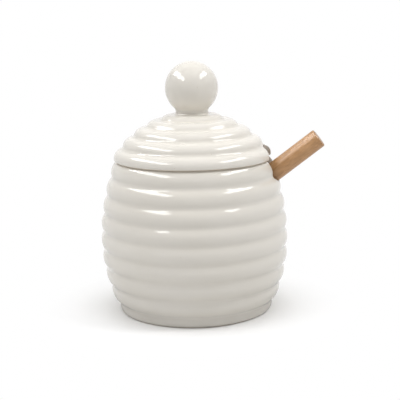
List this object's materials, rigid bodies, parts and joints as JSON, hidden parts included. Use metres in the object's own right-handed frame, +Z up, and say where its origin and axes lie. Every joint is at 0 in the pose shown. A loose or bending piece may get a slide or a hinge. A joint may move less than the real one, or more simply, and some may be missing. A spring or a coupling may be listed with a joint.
{
  "type": "honey pot with lid and dipper",
  "caption": "Glazed stoneware honey pot shaped like a ribbed beehive, with a lift-off domed lid, a ball knob and a wooden honey dipper that leans out through a notch in the rim",
  "frame": {"origin": "Middle of the flat base, on the table", "axes": "+Z up; +X towards the side where the dipper leans out; +Y completes the right-handed frame. The picture is taken from -Y, a little from +X."},
  "size_m": [0.1169, 0.098, 0.1297],
  "materials": {
    "glazed_stoneware": "glossy",
    "bare_wood": "matte"
  },
  "bodies": {
    "pot": {"pot": "glazed_stoneware"},
    "lid": {"lid": "glazed_stoneware", "lid_knob": "glazed_stoneware"},
    "dipper": {"dipper_handle": "bare_wood", "dipper_head": "bare_wood"}
  },
  "joints": [
    {"name": "lid_lift", "type": "slide", "parent": "pot", "child": "lid", "axis": [0, 0, 1], "range_m": [0, 0.08]},
    {"name": "dipper_slide", "type": "slide", "parent": "pot", "child": "dipper", "axis": [0.7944, 0, 0.6074], "range_m": [0, 0.05]}
  ]
}
